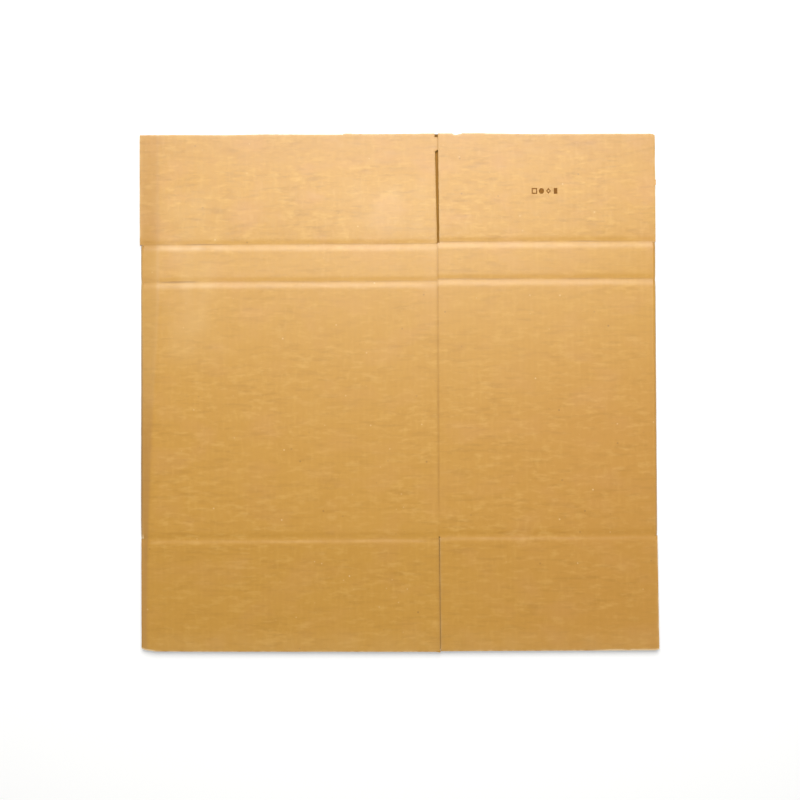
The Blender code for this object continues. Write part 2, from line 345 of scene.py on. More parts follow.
def bendShadeAndGrimeShare(x, y, side):
    if side < 0:
        return 0.0
    narrow, wide = bendShadeAndGrimeForm["width"]
    edge = narrow + (wide - narrow) * widening(y) - foldX + bendShadeAndGrimeForm["wander"] * rough(x, y, 50 * mm, 2.2)
    strip = smoothStep((edge - x) / bendShadeAndGrimeForm["edge"] + 0.5)
    strip *= 1 - bendShadeAndGrimeForm["flapLess"] * rising(y - topScore, bendShadeAndGrimeForm["flapFrom"])
    return max(strip, bendShadeAndGrimeForm["tips"] * rising(y, bendShadeAndGrimeForm["tipsFrom"]))


# Where the bent strip gets less painted shade and a painted sheen instead, on the upper half of the body
def stripSheenShare(y):
    return rising(y, bendShadeAndGrimeForm["paleFrom"]) * falling(y, bendShadeAndGrimeForm["paleTo"])


# Painted shade along the scores, with the die's burnish; the upper ones are crisper near the left bend
scoreShadeAndBurnishForm = {
    "upright": 0.45,
    "uprightWidth": 1.1 * mm,
    "uprightUneven": 0.6,
    "lowerLess": 0.75,          # share that the upright score loses at its lower end
    "lowerFrom": (-140 * mm, 30 * mm),
    "blade": (0.4, 0.6),        # fine dark line along each upper score: plain, and uneven
    "bladeWidth": 0.7 * mm,
    "start": 1.8,               # the second score's line is stronger where the short panel starts
    "startAt": 8 * mm,
    "startWidth": 5 * mm,
    "crispAt": -285 * mm,
    "crispWidth": 34 * mm,
    "crisp": (1.6, 1.5),        # what both lines gain there, and what the second gains first
}


def crispEnd(x):
    return humpOf(scoreShadeAndBurnishForm, "crisp", x)


# Painted shade along the scores, with the die's burnish
def scoreShadeAndBurnishShare(x, y, side):
    if side < 0:
        return 0.0
    share = 0.0
    if bottomScore < y < topScore + scoreStep:
        lower = falling(y, scoreShadeAndBurnishForm["lowerFrom"])
        worn = scoreShadeAndBurnishForm["upright"] * (1 - scoreShadeAndBurnishForm["lowerLess"] * lower)
        worn *= 1 + scoreShadeAndBurnishForm["uprightUneven"] * rough(y, x, 12 * mm, 8.1)
        share = worn * hump(fromUpright(x, y), scoreShadeAndBurnishForm["uprightWidth"])
    away = y - topScore - stepAt(x, side) - wanderAt(x, y)
    away -= scoreForm["shift"][x > uprightX] + scoreForm["pinchAt"]
    both, second = scoreShadeAndBurnishForm["crisp"]
    gain = second * crispEnd(x)
    if x > uprightX:
        gain += scoreShadeAndBurnishForm["start"] * humpOf(scoreShadeAndBurnishForm, "start", x - uprightX)
    line = hump(away, scoreShadeAndBurnishForm["bladeWidth"])
    line += (1 + gain) * hump(away + scoreForm["lowerDrop"], scoreShadeAndBurnishForm["bladeWidth"])
    line *= 1 + both * crispEnd(x)
    return min(1.0, share + line * varied(scoreShadeAndBurnishForm["blade"], x, y, 30 * mm, 2.6))


# Painted highlights on the lit walls of the scores and on the top flaps beside the slot, and paler paint
# beside
# the left bend and near the bottom edge: how much, and its soft steps
highlightForm = {
    "walls": (0.11, 0.05),      # the steep walls at the first and the second score
    "wallWidth": 2.3 * mm,
    "crisp": 1.3,               # and more where those are crisper
    "bend": 0.10,               # the paper beside the left bend
    "bendAt": -287 * mm,
    "bendWidth": 28 * mm,
    "bendFrom": (20 * mm, 60 * mm),
    "bendTo": (290 * mm, 40 * mm),
    "bottom": 0.05,             # near the bottom edge
    "bottomTo": (-318 * mm, 20 * mm),
    "slot": 0.09,               # the top flaps beside the slot
    "slotAt": -10 * mm,
    "slotWidth": 50 * mm,
    "slotFrom": (0.0, 30 * mm),         # from the first score's wall
    "slotTo": (300 * mm, 30 * mm),
    "uneven": 0.9,
}


# Painted highlights on the scores' lit walls and beside the slot, with paler paint beside the left bend and
# near the bottom edge
def highlightShare(x, y, side):
    if side < 0:
        return 0.0
    away = y - topScore - stepAt(x, side) - scoreForm["shift"][x > uprightX] - scoreForm["riseAt"]
    first, second = highlightForm["walls"]
    band = first * hump(away, highlightForm["wallWidth"])
    band += second * hump(away + scoreForm["lowerDrop"], highlightForm["wallWidth"])
    band *= 1 + highlightForm["crisp"] * crispEnd(x)
    bend = rising(y, highlightForm["bendFrom"]) * falling(y, highlightForm["bendTo"])
    band += highlightForm["bend"] * bend * humpOf(highlightForm, "bend", x)
    band += highlightForm["bottom"] * falling(y, highlightForm["bottomTo"])
    slot = rising(away, highlightForm["slotFrom"]) * falling(y, highlightForm["slotTo"])
    band += highlightForm["slot"] * slot * humpOf(highlightForm, "slot", x)
    return band * (1 + highlightForm["uneven"] * rough(x, y, 20 * mm, 5.5))


def rubShare(away, x, y):
    share = varied(wall["lipRubbed"], x, y, 6 * mm, 3.9)
    return share * math.exp(-max(0.0, away) / wall["lipWidth"])


def sheetGrid(columns, rows):
    bm = bmesh.new()
    bmesh.ops.create_grid(bm, x_segments=columns - 1, y_segments=rows - 1, size=0.5)
    # paints: painted shade of the bent strip, rubbed fibres with painted highlights, painted shade with the
    # die's burnish
    for paint in ("bent", "rubbed", "pressed"):
        bm.verts.layers.float.new(paint)
    stations = []
    for vert in bm.verts:
        column = round((vert.co.x + 0.5) * (columns - 1))
        row = round((vert.co.y + 0.5) * (rows - 1))
        stations.append((vert, column, row))
    return bm, stations


sameSpot = 0.002 * mm           # points that are nearer than this are one
sharpFrom = math.radians(38)


def finishPiece(name, bm, thickness, material):
    bmesh.ops.remove_doubles(bm, verts=bm.verts[:], dist=sameSpot)
    bmesh.ops.solidify(bm, geom=bm.faces[:], thickness=thickness)
    bmesh.ops.recalc_face_normals(bm, faces=bm.faces[:])
    mesh = bpy.data.meshes.new(name)
    bm.to_mesh(mesh)
    bm.free()
    mesh.materials.append(material)
    mesh.shade_smooth()
    mesh.set_sharp_from_angle(angle=sharpFrom)
    obj = bpy.data.objects.new(name, mesh)
    bpy.context.scene.collection.objects.link(obj)
    return obj


def toLinear(hexColour):
    channels = [int(hexColour[index:index + 2], 16) / 255 for index in (1, 3, 5)]
    return [c / 12.92 if c <= 0.04045 else ((c + 0.055) / 1.055) ** 2.4 for c in channels] + [1.0]


# One node with its settings and links; gives back the output that is asked for
def addNode(tree, kind, settings, links=None, output=0):
    node = tree.nodes.new(kind)
    for key, value in settings.items():
        if isinstance(key, str) and key.islower():
            setattr(node, key, value)
        else:
            node.inputs[key].default_value = value
    for key, socket in (links or {}).items():
        tree.links.new(socket, node.inputs[key])
    return node.outputs[output]


def newMaterial(name):
    material = bpy.data.materials.new(name)
    material.use_nodes = True
    return material, material.node_tree, material.node_tree.nodes["Principled BSDF"].inputs


# Unbleached kraft liner off a paper machine: the web's long fibres lie in dark and pale strokes
# across the flutes, with shorter pale ones along them, pulp knots and bark flecks between, and
# the glue lines of the wave showing through as faint ribs. Its real fibres are 0.03 mm thick;
# they are drawn in bundles some 2 to 3 mm thick, as they show at this distance.
linerLook = {
    "ground": "#C49136",
    "blotch": "#B78226",
    "stroke": "#A0701F",
    "gleam": "#E4B767",
    "upright": "#DCAE5A",
    "pinker": "#CB9458",
    "warm": "#C1883A",
    # painted shade of the bent strip, with a pinker tint
    "bent": "#B18144",
    "knot": "#E9C88E",
    "bark": "#94662C",
    # cream of rubbed fibres, also used for painted highlights
    "rubbed": "#ECCB97",
    # painted shade, with the die's burnish in the scores
    "pressed": "#A27328",
    "roughness": (0.33, 0.39),
    "specular": 0.5,
    "fields": {
        # across, along the flutes, start and full share of the noise, strength
        "blotch": (19 * mm, 10 * mm, 0.46, 0.66, 0.20),
        "stroke": (27 * mm, 5.6 * mm, 0.52, 0.72, 0.24),
        "gleam": (17 * mm, 5.8 * mm, 0.52, 0.74, 0.21),
        "upright": (6 * mm, 15 * mm, 0.54, 0.78, 0.15),
        "pinker": (60 * mm, 40 * mm, 0.50, 0.70, 0.18),
    },
    "patch": 75 * mm,           # the strokes come thicker and thinner over this
    "flapsMore": 1.85,          # and they show this much more on the top flaps
    "flapsFrom": 180 * mm,
    "flapsTo": 240 * mm,
    "knotEvery": 19 * mm,
    "barkEvery": 23 * mm,
    "fleck": (0.03, 0.08, 0.6), # radius where it starts to fade and ends, in cells, and strength
    "fleckPick": (0.45, 0.75),  # what a cell draws at random for no fleck, and for a full one
    "warmFrom": 40 * mm,        # the paper is redder to the right
    "warmTo": 260 * mm,
    # the warm tone is strongest low down, as painted shade of the lower front
    "lowerFrom": -50 * mm,      # and less so from here up
    "lowerTo": 120 * mm,
    "paint": {"bent": 0.55, "pressed": 1.0, "rubbed": 1.0},
    "ribs": 0.05,
}
waveUnit = 0.31416              # period of Blender's wave texture at a scale of 1
# The inner liner is a browner, more matt paper
# its shade colour is the painted shade seen in the slot
insideLook = dict(linerLook, ground="#A67526", blotch="#94621A", stroke="#825514", gleam="#AC7C30",
                  upright="#AA7A30", pinker="#9C6C2A", warm="#9C6A20", knot="#B0864C", pressed="#7C5418",
                  roughness=(0.62, 0.72), specular=0.2)


# Inputs 1 to 4 of a Map Range node are its From Min, From Max, To Min and To Max
def linerMaterial(name, look):
    material, tree, shader = newMaterial(name)
    place = addNode(tree, "ShaderNodeTexCoord", {}, output="Object")
    along = addNode(tree, "ShaderNodeSeparateXYZ", {}, {"Vector": place}, output="X")
    up = addNode(tree, "ShaderNodeSeparateXYZ", {}, {"Vector": place}, output="Y")
    layers, noises = [], {}
    patch = addNode(tree, "ShaderNodeTexNoise", {"Scale": 1 / look["patch"], "Detail": 1.0},
                    {"Vector": place})
    uneven = addNode(tree, "ShaderNodeMapRange", {1: 0.35, 2: 0.62, 3: 0.7, 4: 1.15}, {0: patch})
    onFlaps = addNode(tree, "ShaderNodeMapRange", {1: look["flapsFrom"], 2: look["flapsTo"], 3: 1.0,
                                                   4: look["flapsMore"]}, {0: up})
    thick = addNode(tree, "ShaderNodeMath", {"operation": "MULTIPLY"}, {0: uneven, 1: onFlaps})
    for seed, (key, (wide, tall, low, high, strength)) in enumerate(look["fields"].items()):
        drawn = addNode(tree, "ShaderNodeMapping",
                        {"Location": (seed * 3.7, seed * 1.9, 0.0),
                         "Scale": (1 / wide, 1 / tall, 1 / wide)}, {"Vector": place})
        noises[key] = addNode(tree, "ShaderNodeTexNoise",
                              {"Scale": 1.0, "Detail": 2.0, "Roughness": 0.5}, {"Vector": drawn})
        share = addNode(tree, "ShaderNodeMapRange", {1: low, 2: high, 3: 0.0, 4: strength},
                        {0: noises[key]})
        share = addNode(tree, "ShaderNodeMath", {"operation": "MULTIPLY"}, {0: share, 1: thick})
        layers.append((share, key))
    # warmer to the right, and towards the bottom as painted shade
    warm = addNode(tree, "ShaderNodeMapRange", {1: look["warmFrom"], 2: look["warmTo"], 3: 0.15, 4: 0.5},
                   {0: along})
    lower = addNode(tree, "ShaderNodeMapRange", {1: look["lowerFrom"], 2: look["lowerTo"], 3: 1.0, 4: 0.1},
                    {0: up})
    share = addNode(tree, "ShaderNodeMath", {"operation": "MULTIPLY"}, {0: warm, 1: lower})
    layers.insert(0, (share, "warm"))
    full, faded, strength = look["fleck"]
    never, always = look["fleckPick"]
    for key in ("knot", "bark"):
        cells = {"Scale": 1 / look[key + "Every"]}
        away = addNode(tree, "ShaderNodeTexVoronoi", cells, {"Vector": place}, output="Distance")
        pick = addNode(tree, "ShaderNodeTexVoronoi", cells, {"Vector": place}, output="Color")
        near = addNode(tree, "ShaderNodeMapRange", {1: full, 2: faded, 3: strength, 4: 0.0}, {0: away})
        chosen = addNode(tree, "ShaderNodeMapRange", {1: never, 2: always, 3: 0.0, 4: 1.0}, {0: pick})
        share = addNode(tree, "ShaderNodeMath", {"operation": "MULTIPLY"}, {0: near, 1: chosen})
        layers.append((share, key))
    for key, strength in look["paint"].items():
        paint = addNode(tree, "ShaderNodeAttribute", {"attribute_name": key}, output="Fac")
        share = addNode(tree, "ShaderNodeMath", {"operation": "MULTIPLY", 1: strength}, {0: paint})
        layers.append((share, key))
    ribs = addNode(tree, "ShaderNodeTexWave", {"Scale": waveUnit / wall["pitch"], "Distortion": 0.0},
                   {"Vector": place}, output="Fac")
    share = addNode(tree, "ShaderNodeMapRange", {1: 0.0, 2: 1.0, 3: 0.0, 4: look["ribs"]}, {0: ribs})
    colour = addNode(tree, "ShaderNodeMix", {"data_type": "RGBA", 6: toLinear(look["ground"]),
                                             7: toLinear(look["stroke"])}, {0: share}, output=2)
    for share, key in layers:
        colour = addNode(tree, "ShaderNodeMix", {"data_type": "RGBA", 7: toLinear(look[key])},
                         {0: share, 6: colour}, output=2)
    tree.links.new(colour, shader["Base Color"])
    gloss = addNode(tree, "ShaderNodeMapRange", {1: 0.3, 2: 0.7, 3: look["roughness"][0],
                                                 4: look["roughness"][1]}, {0: noises["gleam"]})
    tree.links.new(gloss, shader["Roughness"])
    shader["Specular IOR Level"].default_value = look["specular"]
    height = addNode(tree, "ShaderNodeMath", {"operation": "SUBTRACT"},
                     {0: noises["gleam"], 1: noises["stroke"]})
    bump = addNode(tree, "ShaderNodeBump", {"Strength": 0.4, "Distance": 0.06 * mm}, {"Height": height})
    tree.links.new(bump, shader["Normal"])
    return material


# Semi-chemical fluting paper: short greyish-brown fibres, soft and quite matt
flutingLook = {"dark": "#94693A", "pale": "#B78A52", "fibre": (3.0 * mm, 1.2 * mm)}


def flutingMaterial(look):
    material, tree, shader = newMaterial("semichemical_fluting_paper")
    place = addNode(tree, "ShaderNodeTexCoord", {}, output="Object")
    across, along = look["fibre"]
    drawn = addNode(tree, "ShaderNodeMapping", {"Scale": (1 / across, 1 / along, 1 / across)},
                    {"Vector": place})
    fibre = addNode(tree, "ShaderNodeTexNoise", {"Scale": 1.0, "Detail": 3.0}, {"Vector": drawn})
    share = addNode(tree, "ShaderNodeMapRange", {1: 0.3, 2: 0.7, 3: 0.0, 4: 1.0}, {0: fibre})
    colour = addNode(tree, "ShaderNodeMix", {"data_type": "RGBA", 6: toLinear(look["dark"]),
                                             7: toLinear(look["pale"])}, {0: share}, output=2)
    tree.links.new(colour, shader["Base Color"])
    shader["Roughness"].default_value = 0.85
    bump = addNode(tree, "ShaderNodeBump", {"Strength": 0.5, "Distance": 0.05 * mm}, {"Height": fibre})
    tree.links.new(bump, shader["Normal"])
    return material


outerLiner = linerMaterial("unbleached_kraft_liner", linerLook)
innerLiner = linerMaterial("unbleached_kraft_liner_inside", insideLook)
flutingPaper = flutingMaterial(flutingLook)
print("materials made")


# Body: the four panels' outer liner, as one sheet wrapped round the flat tube
bodyForm = {
    "frontStep": wall["pitch"] / 4,
    "backStep": 6 * mm,
    "fieldStep": 11 * mm,
    "scoreRowStep": 1.0 * mm,
    "scoreRows": 13 * mm,
    "seamHalves": (0.45 * mm, 0.5 * mm),    # half the seam's width at its floor and at its lips
    "seamLips": 0.4,            # height of the lips, as a share of the board's
    "besideUpright": (0.35 * mm, 0.75 * mm, 1.2 * mm, 1.7 * mm, 2.3 * mm, 3.1 * mm),
    "panelFrom": 4.2 * mm,      # the panels' even columns start this far from the upright score
    "split": 0.02 * mm,         # and the columns beside it this far
    "handOver": 5.0 * mm,       # the flap's own paper takes over this far inside its score
    "foldHandOver": 0.3 * mm,
    "lastRow": 0.2 * mm,        # from the hand-over to the next row
}
# The two folds at the sides are crumpled, and notched where a score runs over them
noseForm = {
    "segments": 10,
    "inset": 0.01,              # radians from the panels' own last columns
    "notch": 0.5,               # share of the depth of a back score
    "dent": 0.12 * mm,
    "crumple": 0.13 * mm,
    "bulge": 0.65 * mm,         # the left fold stands out a little further along its lower half
    "bulgeAt": -133 * mm,
    "bulgeWidth": 90 * mm,
    "rubbed": 0.12,
    "rubbedAt": 0.8,            # share of the folds' height
    "rubbedWidth": 1.2 * mm,
    "cornerRubbed": 0.8,        # on the left fold at the bottom score
    "cornerWidth": 3 * mm,
    "grimeTo": (110 * mm, 60 * mm),     # the left fold's outermost line gets painted shade up to here
    "lessGrime": 0.5,
    "lessTo": (-150 * mm, 30 * mm),     # and less so up to here
    "grimeFrom": -1.3 * mm,     # outwards from the fold's middle line
    "grimeOver": 4 * mm,
    "grimePower": 1.6,
}


def foldColumns(x, start, step):
    columns = []
    inset = noseForm["inset"]
    for turn in spread(inset, math.pi - inset, math.pi / noseForm["segments"]):
        across = x + noseRadius * math.cos(start + turn)
        columns.append((across, noseRadius + noseRadius * math.sin(start + turn), 0, step))
    return columns


# x, z, side (0 at a fold or the seam) and score step of each column of the sheet
def bodyColumns():
    split, seamHalf = bodyForm["split"], wall["seamHalf"]
    floorHalf, lipHalf = bodyForm["seamHalves"]
    floorZ, lipZ = board - wall["liner"], bodyForm["seamLips"] * board
    columns = [(x, 0.0, -1, 0.0) for x in spread(-noseX, seamX - seamHalf, bodyForm["backStep"])]
    for away, z in ((-lipHalf, lipZ), (-floorHalf, floorZ), (floorHalf, floorZ), (lipHalf, lipZ)):
        columns.append((seamX + away, z, 0, 0.0 if away < 0 else scoreStep))
    columns += [(x, 0.0, -1, scoreStep) for x in spread(seamX + seamHalf, noseX, bodyForm["backStep"])]
    columns += foldColumns(noseX, -math.pi / 2, scoreStep)
    near, panelFrom = bodyForm["besideUpright"], bodyForm["panelFrom"]
    right = [uprightX + split] + [uprightX + away for away in near]
    right += spread(uprightX + panelFrom, noseX, bodyForm["frontStep"])
    left = spread(-noseX, uprightX - panelFrom, bodyForm["frontStep"])
    left += [uprightX - away for away in reversed(near)] + [uprightX - split]
    columns += [(x, None, 1, scoreStep) for x in reversed(right)]
    columns += [(x, None, 1, 0.0) for x in reversed(left)]
    columns += foldColumns(-noseX, math.pi / 2, 0.0)
    return columns + [columns[0]]


def bodyRows():
    lower = topScore - scoreForm["lowerDrop"]
    start = bodyForm["handOver"] + bodyForm["lastRow"]
    half, fine = bodyForm["scoreRows"], bodyForm["scoreRowStep"]
    rows = spread(bottomScore + start, bottomScore + half, fine)
    rows += spread(lower - half, lower + half, fine)
    rows += spread(topScore - half, topScore - start, fine)
    rows += spread(bottomScore + half, lower - half, bodyForm["fieldStep"])[1:-1]
    rows += spread(lower + half, topScore - half, bodyForm["fieldStep"])[1:-1]
    return sorted(rows)


# Painted shade on the left fold's outer line, which turns away from the lamp
def noseShade(y, away):
    foldShade = falling(y, noseForm["grimeTo"]) * (1 - noseForm["lessGrime"] * falling(y, noseForm["lessTo"]))
    outwards = min(1.0, (away - noseForm["grimeFrom"]) / noseForm["grimeOver"])
    return foldShade * outwards ** noseForm["grimePower"]


def makeBodySkin():
    columns, rows = bodyColumns(), bodyRows()
    bm, stations = sheetGrid(len(columns), len(rows) + 2)
    bent, rubbed, pressed = bm.verts.layers.float.values()
    for vert, column, row in stations:
        x, z, side, step = columns[column]
        handOver = bodyForm["handOver" if side else "foldHandOver"]
        if 0 < row <= len(rows):
            y = rows[row - 1] + step
        else:
            y = (bottomScore + handOver if row == 0 else topScore - handOver) + step
        if side > 0:
            z = frontFace(x, y, step) - outerRelief(x, y, 1)
            vert[pressed] = scoreShadeAndBurnishShare(x, y, 1)
            vert[rubbed] = highlightShare(x, y, 1)
        elif side < 0:
            z = outerRelief(x, y, -1)
        elif abs(x) > noseX:
            away = abs(x) - noseX
            dent = noseForm["notch"] * backScore(x, y, step) + noseForm["dent"]
            dent += noseForm["crumple"] * (rough(y, x, 7 * mm, 4.4) + rough(y, x, 30 * mm, 6.1))
            if x < 0:
                dent -= noseForm["bulge"] * humpOf(noseForm, "bulge", y)
            x = math.copysign(noseX + away * (1 - dent / noseRadius), x)
            z += 0.5 * wall["skinDrop"] * (1 if z < noseRadius else -1)
            line = noseForm["rubbed"] * hump(z - noseForm["rubbedAt"] * foldZ, noseForm["rubbedWidth"])
            vert[rubbed] = line * (1 + rough(y, x, 8 * mm, 1.8))
            if x < 0:
                vert[pressed] = noseShade(y, away)
                vert[rubbed] += noseForm["cornerRubbed"] * hump(y - bottomScore, noseForm["cornerWidth"])
        # painted shade on the bent strip, and a painted sheen on its upper part
        strip = bendShadeAndGrimeShare(x, y, 1 if z > noseRadius else -1)
        vert[bent] = strip * (1 - bendShadeAndGrimeForm["lessDark"] * stripSheenShare(y))
        vert[rubbed] += bendShadeAndGrimeForm["scuffed"] * strip * stripSheenShare(y)
        vert.co = (x, y, z)
    bmesh.ops.reverse_faces(bm, faces=bm.faces[:])
    skin = finishPiece("bodyOuterLiner", bm, wall["liner"], outerLiner)
    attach(skin, "carton")
    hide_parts("carton_body")


# The body's inner liner, with the crushed tab that is glued to the back standing up from it
liningForm = {
    "underFront": 0.4 * mm,     # the tab ends this far below its full height
    "tabStart": 0.5 * mm,
    "tabSlope": 0.2 * mm,
    "afterTab": 2 * mm,
    "foldOut": 0.2 * mm,
    "rowStep": 50 * mm,
}


def makeBodyLining():
    tabTop = board + tabHeight - liningForm["underFront"]
    foldOut, step = liningForm["foldOut"], bodyForm["backStep"]
    path = [(x, board) for x in spread(-noseX, seamX - board, step)]
    path += [(seamX - liningForm["tabStart"], tabTop), (tabEndX - liningForm["tabSlope"], tabTop)]
    path += [(tabEndX, board)]
    path += [(x, board) for x in spread(tabEndX + liningForm["afterTab"], noseX, step)]
    path += [(noseX + foldOut, noseRadius)]
    path += [(x, None) for x in reversed(spread(-noseX, noseX, step))]
    path += [(-noseX - foldOut, noseRadius)]
    path.append(path[0])
    handOver = bodyForm["handOver"]
    rows = spread(bottomScore + handOver, topScore - handOver, liningForm["rowStep"])
    bm, stations = sheetGrid(len(path), len(rows))
    for vert, column, row in stations:
        x, z = path[column]
        share = scoreStep * smoothStep((x - seamX) / (uprightX - seamX))
        z = max(frontFace(x, rows[row], 0.0), foldZ) - board if z is None else z
        vert.co = (x, rows[row] + share, z)
    bmesh.ops.reverse_faces(bm, faces=bm.faces[:])
    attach(finishPiece("bodyInnerLiner", bm, wall["liner"], innerLiner), "carton")


# Flaps: outer liner, inner liner and the wave between them, which shows at the cut edges.
# Each sheet runs on past the score, and bends there when the flap turns.
flapForm = {
    "bendStart": 1.5 * mm,
    "bendEnd": 4.0 * mm,
    "bendStep": 0.5 * mm,
    "scoreRows": 13 * mm,
    "rowStep": 1.0 * mm,
    "fieldStep": 9 * mm,
    "fieldTo": 4 * mm,          # the field's rows end this far from the free edge
    "edgeRows": (2.6 * mm, 1.8 * mm, 1.2 * mm, 0.7 * mm, 0.0),
    "hinge": 0.15 * mm,         # from the score to the rows beside it
    "sideColumns": (0.0, 0.7 * mm, 1.8 * mm),
    "sideFrom": 3 * mm,
    "backStep": 4 * mm,
    "innerStep": 10 * mm,
    "waveStep": wall["pitch"] / 8,
    "waveRows": (9 * mm, 14 * mm),      # from the score
    "waveEdgeRows": (26 * mm, 5 * mm, 1.8 * mm, 0.0),   # from the free edge
    "waveWander": 0.4,          # radians
    "stretch": 12 * mm,         # columns give way over this width beside a border
    "edgeStretch": 15.6 * mm,   # and rows at a worn free edge
    "edgeRag": 0.8,
    "inside": 0.02 * mm,        # how near the paper comes to the frame's outer borders
    "lipFrom": 0.2 * mm,        # the pressed lip starts this far past the score
    "innerClear": 0.05 * mm,    # the inner liner lies this far inside the wall
}
stripForm = {
    "fromEdge": 5.5 * mm,
    "length": 20 * mm,
    "torn": 2.6 * mm,
    "gap": 0.12 * mm,
    "rowStep": 2 * mm,
    "tornStep": 0.65 * mm,
    "belowTorn": 0.5 * mm,
    "besideCut": 0.05 * mm,
}
slotForm = {"start": 1.2 * mm, "flare": 2.9 * mm, "farSide": 0.05 * mm, "taper": 1.35 * mm, "rag": 1.5}
slitForm = {"closer": 0.58 * mm, "shift": 1.4 * mm, "taper": -1.0 * mm}
nubForm = {"start": 77.5 * mm, "length": 8.5 * mm, "slope": 1.2 * mm, "height": 1.1 * mm,
           "rag": 2.2}
crushForm = {"reach": 24 * mm, "depth": 0.9 * mm, "pucker": 0.35 * mm}
cutRag = ((0.12 * mm, 4 * mm), (0.10 * mm, 17 * mm))    # depths and lengths in a cut edge's rag
# Both outer ends of the bottom edge are frayed to a cream rim
frayForm = {"right": (262 * mm, 30 * mm), "left": (-318 * mm, 20 * mm), "rim": (2.3 * mm, 1.1 * mm),
            "uneven": (0.8, 1.2)}
# Borders at the slot and the slit get painted shade instead of the rubbed rim; the slit is pressed almost
# shut
borderShadeForm = {"slot": 0.5, "slit": 0.85, "reach": 6 * mm, "width": 1.6 * mm}
# Painted shade inside the long back flap at the mouth of the slot above it, which lies in shadow
slotShadeForm = {"across": (5 * mm, 2 * mm), "least": 0.25, "mouth": (13 * mm, 10 * mm),
            "columns": 7 * mm, "columnStep": 1 * mm}

# Worn free edges: share of the flap's width, and how far the edge stands back there in mm
wornEdges = {
    "front_top_long_flap": (
        (0.0, 1.0), (0.12, 0.9), (0.27, 1.5), (0.43, 0.6), (0.56, 1.2), (0.687, 1.4),
        (0.692, 0.0), (0.715, 0.0), (0.72, 0.5), (0.80, 0.9), (0.9, 0.6), (1.0, 0.3)),
    "front_top_short_flap": (
        (0.0, 0.2), (0.063, 0.2), (0.073, 2.2), (0.098, 2.3), (0.108, 0.1), (0.18, 0.1),
        (0.25, 0.7), (0.37, 1.3), (0.5, 1.6), (0.8, 1.6), (0.975, 1.8), (0.992, 2.5), (1.0, 4.4)),
    "front_bottom_long_flap": (
        (0.0, 7.1), (0.012, 4.9), (0.045, 3.0), (0.2, 2.4), (0.985, 0.8), (1.0, 0.0)),
    "front_bottom_short_flap": ((0.0, 0.0), (0.985, 0.0), (1.0, 1.2)),
    "back_top_long_flap": ((0.0, 1.6), (0.285, 0.7), (0.305, 2.6), (1.0, 2.6)),
    "back_top_short_flap": ((0.0, 2.6), (1.0, 2.6)),
    "back_bottom_short_flap": ((0.0, 8.0), (0.06, 3.8), (1.0, 2.6)),
    "back_bottom_long_flap": ((0.0, 2.6), (1.0, 1.2)),
}


def standBack(node, share):
    edge = wornEdges[node]
    for (start, near), (end, far) in zip(edge, edge[1:]):
        if share <= end:
            return mm * (near + (far - near) * (share - start) / (end - start))
    return mm * edge[-1][1]


def rag(y, seed, size=1.0):
    return size * sum(depth * rough(y, 0.0, length, seed) for depth, length in cutRag)


# Borders give x at a distance from the score; on the body's side they meet its own sheet
def cutBorder(x, bodyX, seed, taper=0.0, ragSize=1.0):
    draw = math.copysign(wall["edgeDraw"], x - bodyX)

    def border(distance, length):
        if distance < 0:
            return bodyX
        return x + taper * (1 - distance / length) - draw + rag(distance, seed, ragSize)
    return border


slotFarSide = cutBorder(slotShort + slotForm["farSide"], uprightX, 3.3, slotForm["taper"], slotForm["rag"])


# The slot's near side, with the strip of waste that still hangs across the slot and is torn below
def slotBorder(distance, length):
    if distance < 0:
        return uprightX
    edge = 2 * uprightX - slotShort + slotForm["start"] - slotForm["flare"] * distance / length
    edge += rag(distance, 8.8, slotForm["rag"])
    fromEdge = length - distance
    torn = (stripForm["fromEdge"] + stripForm["length"] - fromEdge) / stripForm["torn"]
    if fromEdge >= stripForm["fromEdge"] and torn > 0:
        edge += min(1.0, torn) * (slotFarSide(distance, length) - stripForm["gap"] - edge)
    return edge


def tornBorder(distance, length):
    if distance < 0:
        return noseX
    middle = nubForm["start"] + nubForm["length"] / 2
    share = (nubForm["length"] / 2 - abs(distance - middle)) / nubForm["slope"]
    nub = nubForm["height"] * min(1.0, max(0.0, share))
    return foldX - wall["edgeDraw"] + nub + rag(distance, 9.9, nubForm["rag"])


def flapRows(node, length):
    start, fine, hinge = -bodyForm["handOver"], flapForm["rowStep"], flapForm["hinge"]
    bendStart, bendEnd = flapForm["bendStart"], flapForm["bendEnd"]
    rows = [start, start + bodyForm["lastRow"]] + spread(start + fine, -bendStart, fine)
    rows += spread(-bendStart, -hinge, flapForm["bendStep"])[1:]
    rows += spread(hinge, bendEnd, flapForm["bendStep"])
    rows += spread(bendEnd, flapForm["scoreRows"], fine)[1:]
    rows += spread(flapForm["scoreRows"], length - flapForm["fieldTo"], flapForm["fieldStep"])[1:]
    rows += [length - away for away in flapForm["edgeRows"]]
    if node == "front_top_long_flap":
        # fine rows where the strip of waste begins, tears and ends
        high = length - stripForm["fromEdge"]
        low = high - stripForm["length"]
        beside, rowStep = stripForm["besideCut"], stripForm["rowStep"]
        rows += [low - stripForm["belowTorn"], high - beside, high + beside]
        rows += spread(low, low + stripForm["torn"], stripForm["tornStep"])
        rows += spread(low + stripForm["torn"] + rowStep, high - rowStep / 2, rowStep)
    if node == "front_top_short_flap":
        rows += spread(nubForm["start"], nubForm["start"] + nubForm["length"], nubForm["slope"])
    return sorted(rows)


def waveRows(length):
    rows = spread(-flapForm["bendStart"], flapForm["bendEnd"], flapForm["bendStep"])
    rows += [-bodyForm["handOver"], *flapForm["waveRows"]]
    return sorted(rows + [length - away for away in flapForm["waveEdgeRows"]])


def flapColumns(low, high, step):
    near, start = flapForm["sideColumns"], flapForm["sideFrom"]
    columns = [low + away for away in near] + spread(low + start, high - start, step)
    return columns + [high - away for away in reversed(near)]


